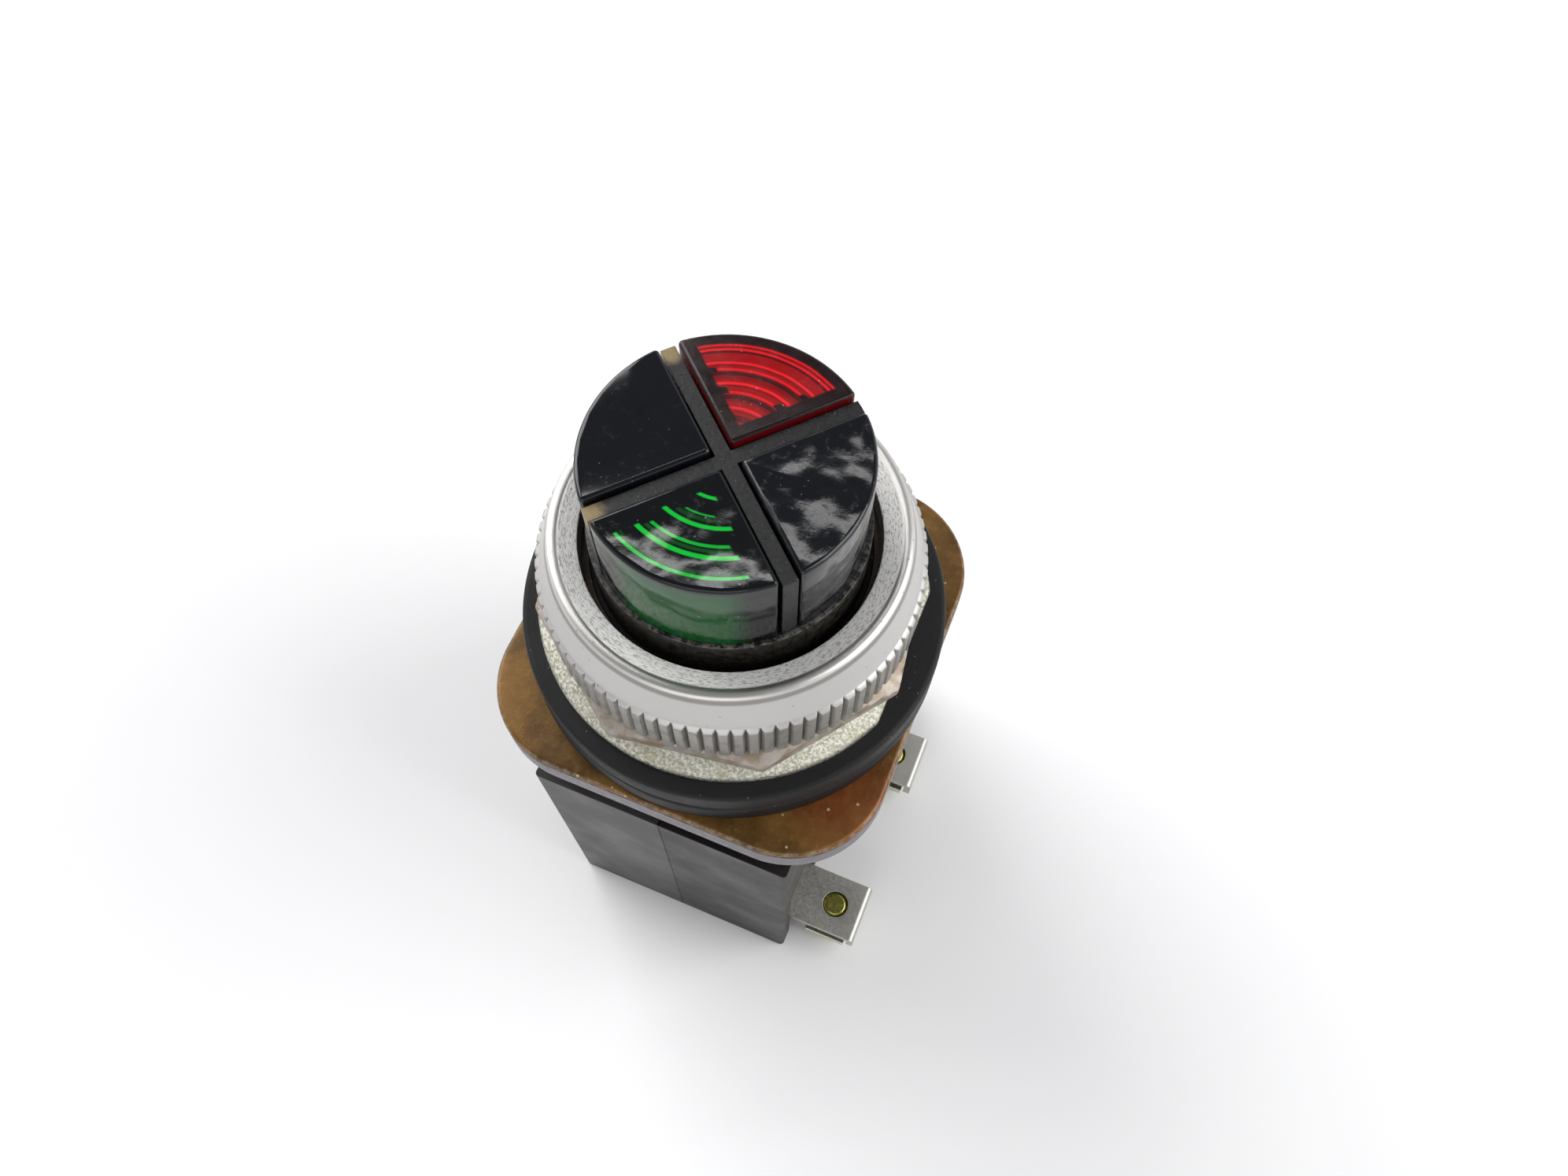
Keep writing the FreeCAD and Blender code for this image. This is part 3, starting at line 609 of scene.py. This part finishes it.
def plate_wall_colour(tree, place, height, fine):
    """Lilac grey where the film is thin, with a dark line along the groove and dark blotches."""
    wall = add(tree, "blend", fine, "#5E595E", "#7C777B")
    on_line = add(tree, "times", add(tree, "step", height, skin_line - 0.22, skin_line - 0.12),
                  add(tree, "step", height, skin_line + 0.2, skin_line + 0.1))
    wall = paint(tree, wall, "#2E2926", on_line, 0.85)
    blotch = add(tree, "step", add(tree, "noise", place, 1 / 1.8, 4, 0.6), 0.6, 0.7)
    return paint(tree, wall, "#4C464A", blotch, 0.4)


def yellow_chromate():
    """Yellow chromate over die-cast zinc: golden brown on top, pale at the rounded rim from wear and a
    painted highlight, lilac grey on the walls, and nearly black on the bushing and round its foot."""
    material, tree, place = surface("zinc_die_cast_yellow_chromate", Metallic=0.4)
    height = add(tree, "parts", place, out=2)
    broad = add(tree, "noise", place, 1 / 7.0, 5, 0.6)
    fine = add(tree, "noise", place, 1 / 0.9, 6, 0.7)
    over_line = add(tree, "step", height, skin_line + 0.1, skin_line + 0.3)
    base = add(tree, "blend", over_line, plate_wall_colour(tree, place, height, fine),
               plate_top_colour(tree, place, broad, fine))
    # Nearly black on the bushing and the plate just round it.
    bushing_dark = add(tree, "step", off_axis(tree, place), bushing_radius + 1.0, bushing_radius + 0.4)
    base = paint(tree, base, "#0E0B09", bushing_dark, 0.88)
    # Pale on the rounded rim: wear together with a painted highlight along the edge.
    up = facing_up(tree)
    on_rim = add(tree, "times", add(tree, "step", up, 0.98, 0.8), add(tree, "step", up, 0.1, 0.3))
    rubbed_and_highlight = add(tree, "times", on_rim, add(tree, "step", fine, 0.42, 0.6))
    rubbed_and_highlight = add(tree, "times", rubbed_and_highlight, add(tree, "minus", 1.0, bushing_dark))
    base = paint(tree, base, "#B5AA9A", rubbed_and_highlight, 0.3)
    feed(material, Base_Color=base, Roughness=add(tree, "step", fine, 0.3, 0.7, 0.34, 0.5),
         Normal=add(tree, "bump", Height=fine, Distance=0.05 * MM))
    return material


def plated(name, dark, light, tint, roughness):
    """Bright plated strip: satin from handling, with a yellow-green bloom where the plate is thin."""
    material, tree, place = surface(name, Metallic=1.0)
    cloud = add(tree, "noise", place, 1 / 2.0, 5, 0.65)
    fine = add(tree, "noise", place, 1 / 0.25, 5, 0.7)
    bloom = add(tree, "step", add(tree, "noise", place, 1 / 1.2, 4, 0.6), 0.55, 0.7)
    base = paint(tree, add(tree, "blend", cloud, dark, light), tint, bloom, 0.5)
    feed(material, Base_Color=base, Normal=add(tree, "bump", Height=cloud, Distance=0.02 * MM),
         Roughness=add(tree, "step", fine, 0.3, 0.7, roughness - 0.06, roughness + 0.1))
    return material


# ---- finishes of the rubber, phenolic, glass and ceramic pieces

def moulded_rubber():
    """Moulded black rubber: matt, with pale dust specks and faint rings from the mould."""
    material, tree, place = surface("rubber_moulded_black", IOR=1.52, Specular_IOR_Level=0.28)
    haze = add(tree, "noise", place, 1 / 5.0, 4, 0.6)
    base = add(tree, "blend", haze, "#0C0C0D", "#1B1A1C")
    base = paint(tree, base, "#6C6A69", specks(tree, place, 0.8, 0.13), 0.8)
    rings = add(tree, "noise", around(tree, place, off_axis(tree, place), 6.0, 0.22), 1.0, 3, 0.6)
    tooth = add(tree, "plus", rings, add(tree, "noise", place, 1 / 0.25, 4, 0.6))
    feed(material, Base_Color=base, Roughness=add(tree, "step", haze, 0.3, 0.7, 0.5, 0.66),
         Normal=add(tree, "bump", Height=tooth, Distance=0.035 * MM))
    return material


def phenolic(name, dark, light, marks):
    """Compression-moulded phenolic: grey brown with a satin sheen, cloudy, with slanting marks from
    rubbing.
    It is painted darker low down as shade, and dark along the joint between the two halves."""
    material, tree, place = surface(name, IOR=1.6, Specular_IOR_Level=0.3)
    cloud = add(tree, "noise", place, 1 / 9.0, 4, 0.55)
    fine = add(tree, "noise", place, 1 / 0.5, 5, 0.65)
    slanted = add(tree, "mapping", place, Rotation=(0.0, 0.6, 0.5), Scale=(0.35, 0.35, 1.6))
    streak = add(tree, "step", add(tree, "noise", slanted, 1 / 2.2, 3, 0.6), 0.62, 0.72)
    base = paint(tree, add(tree, "blend", cloud, dark, light), "#2A2625", streak, marks)
    base = paint(tree, base, "#9A928C", specks(tree, place, 1.1, 0.14), 0.35)
    across = add(tree, "parts", place)
    # Painted shade: darker towards the bottom of the housing.
    base = paint(tree, base, "#110F0E", add(tree, "step", across.node.outputs[2], 38.0, 2.0), 0.6)
    base = paint(tree, base, "#050404", add(tree, "step", add(tree, "absolute", across), 0.2, 0.1))
    feed(material, Base_Color=base, Roughness=add(tree, "step", cloud, 0.3, 0.7, 0.38, 0.54),
         Normal=add(tree, "bump", Height=fine, Distance=0.02 * MM))
    return material


def bulb_glass():
    """Clear blown glass of the lamps, thin and faintly streaked."""
    material, tree, place = surface("soda_lime_glass_blown", Roughness=0.03, IOR=1.52,
                                    Transmission_Weight=0.95)
    streak = add(tree, "noise", place, 1.0, 4, 0.6)
    feed(material, Base_Color=add(tree, "blend", streak, "#F4F7F6", "#FFFFFF"),
         Normal=add(tree, "bump", Height=streak, Distance=0.01 * MM))
    return material


def ceramic_body():
    """Unglazed ceramic of the resistors: chalky, with a fine sandy tooth."""
    material, tree, place = surface("steatite_ceramic_unglazed", Roughness=0.75, IOR=1.6)
    sand = add(tree, "noise", place, 1 / 0.3, 5, 0.7)
    feed(material, Base_Color=add(tree, "blend", sand, "#CFC8B6", "#E2DCCB"),
         Normal=add(tree, "bump", Height=sand, Distance=0.03 * MM))
    return material


# ---- finishes of the head

# Rings round the axis on the two lenses: radius, half width and strength. They are ribs of the
# lens, seen through its face, drawn as painted light: bright rings are painted glow, dark ones painted
# shade. A border is how far in from the cross a band of them starts.
RED_DARK = [(10.44, 0.1, 0.9), (8.2, 0.18, 0.95), (7.85, 0.24, 0.4), (5.8, 0.2, 0.95), (5.45, 0.18, 0.45),
            (9.02, 0.04, 0.6), (6.9, 0.05, 0.6), (10.95, 0.05, 0.6), (4.35, 0.06, 0.5), (3.7, 0.3, 0.8)]
RED_BRIGHT = [(11.14, 0.07, 0.8), (10.7, 0.08, 0.9), (9.3, 0.1, 1.0), (8.6, 0.1, 0.8), (7.17, 0.12, 1.0),
              (6.25, 0.1, 0.8), (4.7, 0.12, 0.9)]
RED_NARROWED = [(8.62, 0.25, 0.6), (6.45, 0.33, 0.6)]
RED_BORDER = 2.2
GREEN_THICK = [(4.18, 0.14, 1.0), (6.87, 0.17, 1.0)]
GREEN_WIDE = [(9.52, 0.19, 1.0), (11.3, 0.14, 0.95), (6.25, 0.16, 0.1), (10.9, 0.14, 0.08)]
GREEN_THIN = [(5.83, 0.07, 0.75), (8.5, 0.13, 0.85), (8.95, 0.14, 0.14), (3.6, 0.12, 0.1)]
GREEN_BORDERS = ((GREEN_THICK, 2.35), (GREEN_WIDE, 2.9), (GREEN_THIN, 3.15))


def red_window(tree, ring, near):
    """1 inside the window of the red lens, whose straight sides step in at two of the ribs."""
    border = add(tree, "plus", RED_BORDER, arcs(tree, ring, RED_NARROWED))
    inside = add(tree, "step", add(tree, "minus", near, border), -0.1, 0.1)
    return add(tree, "times", inside, add(tree, "step", ring, 11.38, 11.2))


def red_lens():
    """Translucent red moulding: a matt brown-red border round a window where the ribs under the face
    are painted as bright bands of glowing light with painted shade between them, and the walls of the
    grooves next to the cross painted glowing red."""
    material, tree, place = surface("acrylic_moulded_red", IOR=1.49, Specular_IOR_Level=0.35)
    near = cross_distance(tree, place, RIGHT_ANGLE)
    wobble = add(tree, "times", add(tree, "minus", add(tree, "noise", place, 1 / 1.6, 4, 0.6), 0.5), 0.12)
    ring = add(tree, "plus", off_axis(tree, place), wobble)
    inside = red_window(tree, ring, near)
    # Painted light of the ribs: dark rings painted shade, bright rings painted glow.
    dark = add(tree, "least", arcs(tree, ring, RED_DARK), 1.0)
    bright = add(tree, "least", arcs(tree, ring, RED_BRIGHT), 1.0)
    glow = paint(tree, add(tree, "blend", bright, "#8E050B", "#DA1822"), "#38090E", dark)
    rim = add(tree, "blend", add(tree, "noise", place, 1 / 3.0, 4, 0.6), "#17090B", "#211012")
    side = add(tree, "step", facing_up(tree), 0.6, 0.2)
    base = paint(tree, rim, glow, inside)
    # Painted glow: the walls next to the cross glow red; the other walls are dark red-brown.
    base = paint(tree, base, "#5C060C", add(tree, "times", side, add(tree, "step", near, 1.6, 1.1)))
    base = paint(tree, base, "#1E080A", add(tree, "times", side, add(tree, "step", near, 1.1, 1.6)))
    base = paint(tree, base, "#D9A8A4", specks(tree, place, 0.9, 0.1), 0.5)
    # The painted bright bands also emit a faint light: a painted glow.
    shining = add(tree, "times", inside, add(tree, "minus", 1.0, dark))
    worn = add(tree, "noise", place, 1 / 1.2, 4, 0.6)
    pocks = add(tree, "noise", place, 1 / 0.4, 4, 0.6)
    feed(material, Base_Color=base, Emission_Color=base,
         Emission_Strength=add(tree, "times", shining, 0.03),
         Roughness=add(tree, "step", worn, 0.3, 0.7, 0.16, 0.28),
         Normal=add(tree, "bump", Height=pocks, Distance=0.01 * MM))
    return material


def green_arcs(tree, radius, near, up):
    """Painted glow of the ribs that show through the green lens's top, each band from its own border."""
    glow = 0.0
    for lines, border in GREEN_BORDERS:
        shown = add(tree, "step", near, border - 0.1, border + 0.1)
        glow = add(tree, "plus", glow, add(tree, "times", arcs(tree, radius, lines), shown))
    return add(tree, "times", glow, add(tree, "step", up, 0.85, 0.97))


def green_wall_painted_light(tree, place, near):
    """Painted light and shade of the outer wall: green in the middle, where light comes through, and
    painted nearly black at its ends and just under the top."""
    cloud = add(tree, "times", add(tree, "minus", add(tree, "noise", place, 1 / 3.0, 4, 0.6), 0.5), 0.5)
    # Painted light: green where light comes through the wall, painted dark towards its ends.
    middle = add(tree, "plus", add(tree, "step", near, 1.2, 7.0), cloud)
    wall = add(tree, "blend", add(tree, "step", middle, 0.2, 0.95), "#08090B", "#0A4C1D")
    under_top = add(tree, "step", add(tree, "parts", place, out=2), lens_high - 0.9, lens_high - 0.5)
    return paint(tree, wall, "#0D1012", under_top)


def green_lens():
    """Translucent green moulding, nearly black on its glossy top where the ribs under the face are
    painted as bright glowing arcs that also emit; light through the middle of its outer wall is painted
    green and its ends are painted dark."""
    material, tree, place = surface("acrylic_moulded_green", IOR=1.49, Specular_IOR_Level=0.4)
    near = cross_distance(tree, place, 3 * RIGHT_ANGLE)
    up = facing_up(tree)
    glow = green_arcs(tree, off_axis(tree, place), near, up)
    top = add(tree, "blend", add(tree, "noise", place, 1 / 2.5, 4, 0.6), "#06080B", "#0B0F12")
    base = paint(tree, top, "#08A62E", glow)
    base = paint(tree, base, green_wall_painted_light(tree, place, near), add(tree, "step", up, 0.5, 0.2))
    base = paint(tree, base, "#8A8F8E", specks(tree, place, 1.0, 0.12), 0.6)
    worn = add(tree, "noise", place, 1 / 0.9, 5, 0.7)
    # Emission on the painted arcs: a painted glow.
    feed(material, Base_Color=base, Emission_Color=base, Emission_Strength=add(tree, "times", glow, 0.2),
         Roughness=add(tree, "step", worn, 0.5, 0.75, 0.05, 0.25),
         Normal=add(tree, "bump", Height=face_height(tree, place, near), Distance=0.15 * MM))
    return material


def blank_plastic(name, middle, waviness, scuffs):
    """Polished opaque blue-black moulding, dusty, with scuffs that blur its reflections. Waviness is
    the depth in millimetres of the hollows in its face."""
    material, tree, place = surface(name, IOR=1.5)
    cloud = add(tree, "noise", place, 1 / 3.0, 4, 0.6)
    base = add(tree, "blend", cloud, "#07080C", "#0E1016")
    base = paint(tree, base, "#8D9096", specks(tree, place, 0.65, 0.11), 0.45)
    smear = add(tree, "step", add(tree, "noise", place, 1 / 1.1, 6, 0.72), 0.54, 0.72)
    base = paint(tree, base, "#5E6064", smear, scuffs * 0.22)
    rough = add(tree, "plus", 0.06, add(tree, "times", smear, 0.06 + scuffs * 0.22))
    face = face_height(tree, place, cross_distance(tree, place, middle))
    feed(material, Base_Color=base, Roughness=rough,
         Normal=add(tree, "bump", Height=face, Distance=waviness * MM))
    return material


def packed_grime(tree, place, base, scratch):
    """Tan grime packed in the outer ends of the two left grooves."""
    reach = head_radius - 0.5
    for arm in (3 * math.pi / 4, 5 * math.pi / 4):
        bearing = arm + head_turn
        end = (reach * math.cos(bearing), reach * math.sin(bearing), lens_high - 1.0)
        ragged = add(tree, "plus", add(tree, "distance", place, end), add(tree, "times", scratch, 1.2))
        base = paint(tree, base, "#8B7A54", add(tree, "step", ragged, 2.3, 1.2))
    return base


def smoked_plastic():
    """Smoked moulding of the lens holder: dark grey and scratched on the cross, brownish and textured
    on the base ring, with a worn upper edge."""
    material, tree, place = surface("polycarbonate_moulded_smoked", IOR=1.58, Specular_IOR_Level=0.35)
    height = add(tree, "parts", place, out=2)
    scratch = add(tree, "noise", place, 1 / 0.6, 6, 0.75)
    cross = add(tree, "blend", add(tree, "step", scratch, 0.4, 0.72), "#050607", "#1A1B1D")
    nicks = add(tree, "step", add(tree, "noise", place, 1 / 0.28, 6, 0.8), 0.62, 0.68)
    cross = paint(tree, cross, "#77787A", nicks)
    ring = add(tree, "blend", add(tree, "step", scratch, 0.4, 0.65), "#151310", "#2B2822")
    below_step = add(tree, "step", height, head_step_height + 0.05, head_step_height - 0.05)
    base = paint(tree, cross, ring, below_step)
    off_edge = add(tree, "absolute", add(tree, "minus", height, head_step_height - 0.05))
    on_edge = add(tree, "times", add(tree, "step", off_edge, 0.22, 0.08),
                  add(tree, "step", off_axis(tree, place), head_radius - 0.1, head_radius + 0.2))
    worn = add(tree, "times", on_edge, add(tree, "step", scratch, 0.42, 0.62))
    base = packed_grime(tree, place, paint(tree, base, "#8C8B84", worn, 0.45), scratch)
    feed(material, Base_Color=base, Roughness=add(tree, "step", scratch, 0.3, 0.7, 0.22, 0.5),
         Normal=add(tree, "bump", Height=scratch, Distance=0.05 * MM))
    return material


right_phenolic = phenolic("phenolic_moulded_right", "#181514", "#231F1C", 0.3)
steel = plated("steel_zinc_plated_screw", "#9C9B96", "#C2C1BB", "#A9A88A", 0.35)

finish_of_slot = {
    "chromate_casting": yellow_chromate(),
    "rubber": moulded_rubber(),
    "zinc_plate": zinc_plate(),
    "ring_aluminium": turned_aluminium(),
    "smoked_plastic": smoked_plastic(),
    "red_lens": red_lens(),
    "green_lens": green_lens(),
    "socket_phenolic": right_phenolic,
    "lamp_glass": bulb_glass(),
    "nickel": plated("brass_nickel_plated_cap", "#B4B1AA", "#D2CFC8", "#A8A596", 0.2),
    "tungsten": plated("tungsten_drawn_wire", "#6E6E70", "#8C8C8E", "#7A7876", 0.3),
    "spring_steel": steel,
    "contact_brass": plated("brass_stamped_contact", "#B08A3C", "#D2AE5C", "#8C7434", 0.3),
    "resistor_ceramic": ceramic_body(),
    "phenolic": right_phenolic,
    "screw_steel": steel,
    "plated_tab": plated("brass_strip_nickel_plated", "#A9A8A2", "#C6C5BE", "#B4B790", 0.42),
    "plated_saddle": plated("steel_strip_zinc_plated", "#B9B5A4", "#E4E0CE", "#B7BE7C", 0.3),
    "terminal_brass": plated("brass_turned_screw", "#9A9440", "#C9C573", "#7E8E3A", 0.28),
}
finish_of_node = {
    "blank_left": blank_plastic("urea_moulded_black_left", math.pi, 0.012, 0.15),
    "blank_right": blank_plastic("urea_moulded_black_right", 0.0, 0.3, 1.0),
    "housing_left": phenolic("phenolic_moulded_left", "#333132", "#464344", 0.6),
    "housing_right": right_phenolic,
}

slot_of_node = {row["node"]: row["material_slot"] for row in frame["record"]["subparts"]}
nodes_of_body = frame["record"]["behaviour"]["bodies"]
body_of_node = {node: body for body, nodes in nodes_of_body.items() for node in nodes}


def finish(node):
    """The node's own material, or else the one of its slot."""
    return finish_of_node.get(node) or finish_of_slot[slot_of_node[node]]


def settle(piece, node):
    """The piece stands for a CAD node: it takes its body and its finish."""
    piece.data.materials.clear()
    piece.data.materials.append(finish(node))
    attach(piece, body_of_node[node])
    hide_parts(node)


# ---- pieces

for node, part in frame["nodes"].items():
    if not part.material_slots:
        part.data.materials.append(None)
    for holder in part.material_slots:
        holder.material = finish(node)

settle(ring_nut(), "mounting_ring")
settle(dished_washer(), "trim_washer")
settle(rubber_gasket("rubber_lower", lower_gasket_low, lower_gasket_high), "gasket_lower")
settle(rubber_gasket("rubber_upper", upper_gasket_low, upper_gasket_high), "gasket_upper")
settle(chromated_base(), "base_casting")

# Widths of the rounded edges, in millimetres; 0 leaves the mesh's own edges.
edge_of_node = {"lens_red": 0.0, "lens_green": 0.0, "blank_left": 0.0, "blank_right": 0.0,
                "lens_holder": 0.12, "housing_right": 0.22, "housing_left": 0.22, "case_screws": 0.12}
edge_of_slot = {"plated_tab": 0.1, "plated_saddle": 0.1, "terminal_brass": 0.1}
for node in sorted(frame["nodes"]):
    edge_width = edge_of_node.get(node, edge_of_slot.get(slot_of_node[node]))
    if edge_width is not None:
        settle(soft_copy(node, edge_width), node)


# ---- floor, light and camera

def floor():
    """Large flat sheet just under the object, of pale matt board with a faint unevenness."""
    side = 1.5
    level = cad_box[0][2] - 0.1 * MM
    corners = [(-side, -side, level), (side, -side, level), (side, side, level), (-side, side, level)]
    mesh = bpy.data.meshes.new("floor")
    mesh.from_pydata(corners, [], [(0, 1, 2, 3)])
    sheet = bpy.data.objects.new("floor", mesh)
    bpy.context.scene.collection.objects.link(sheet)
    material, tree, place = surface("board_matt_white", Roughness=0.7)
    cloud = add(tree, "noise", place, 1 / 60.0, 4, 0.6)
    feed(material, Base_Color=add(tree, "blend", cloud, "#F1F1F2", "#F6F6F6"))
    mesh.materials.append(material)


def soft_box(name, place, wide, deep, power):
    """Oblong area light at a place in metres, aimed at the middle of the object."""
    target = Vector((0.0, 0.0, 0.05))
    data = bpy.data.lights.new(name, "AREA")
    data.shape = "RECTANGLE"
    data.size = wide
    data.size_y = deep
    data.energy = power
    lamp = bpy.data.objects.new(name, data)
    lamp.location = place
    lamp.rotation_euler = (target - Vector(place)).to_track_quat("-Z", "Y").to_euler()
    bpy.context.scene.collection.objects.link(lamp)


def room_light():
    """Even pale room, brighter round the horizon than overhead, so the glossy tops stay dark."""
    horizon, overhead = (0.84, 0.84, 0.85, 1.0), (0.21, 0.212, 0.22, 1.0)
    world = bpy.data.worlds.new("room")
    bpy.context.scene.world = world
    world.use_nodes = True
    tree = world.node_tree
    height = add(tree, "parts", add(tree, "coordinates"), out=2)
    colour = add(tree, "blend", add(tree, "step", height, 0.25, 0.75), horizon, overhead)
    put(tree, colour, tree.nodes["Background"].inputs["Color"])


def camera():
    """Camera high in front and to the right, looking down on the head, 27 mm lens, slightly rolled."""
    place = Vector((23.45, -46.71, 164.56)) * MM
    forward = Vector((-0.1584, 0.4087, -0.8988)).normalized()
    roll = -0.0220
    level_right = forward.cross(Vector((0, 0, 1))).normalized()
    level_up = level_right.cross(forward)
    right = level_right * math.cos(roll) - level_up * math.sin(roll)
    up = level_right * math.sin(roll) + level_up * math.cos(roll)
    data = bpy.data.cameras.new("camera")
    data.sensor_width = 36.0
    data.lens = 27.14
    data.clip_start = 0.005
    eye = bpy.data.objects.new("camera", data)
    bpy.context.scene.collection.objects.link(eye)
    axes = Matrix((right, up, -forward)).transposed().to_4x4()
    eye.matrix_world = Matrix.Translation(place) @ axes
    bpy.context.scene.camera = eye


camera()
floor()
room_light()
soft_box("key_left_back", (-0.6, 0.25, 0.5), 0.6, 0.6, 5.0)
soft_box("fill_right", (0.6, 0.15, 0.5), 0.6, 0.6, 4.0)
soft_box("fill_front", (0.1, -0.65, 0.45), 0.6, 0.4, 0.8)
# A narrow light high behind, where the tops of the segments reflect it as broken streaks.
soft_box("ceiling_strip", (-0.118, 0.245, 0.682), 0.3, 0.03, 0.26)
bpy.context.scene.view_settings.view_transform = "Standard"
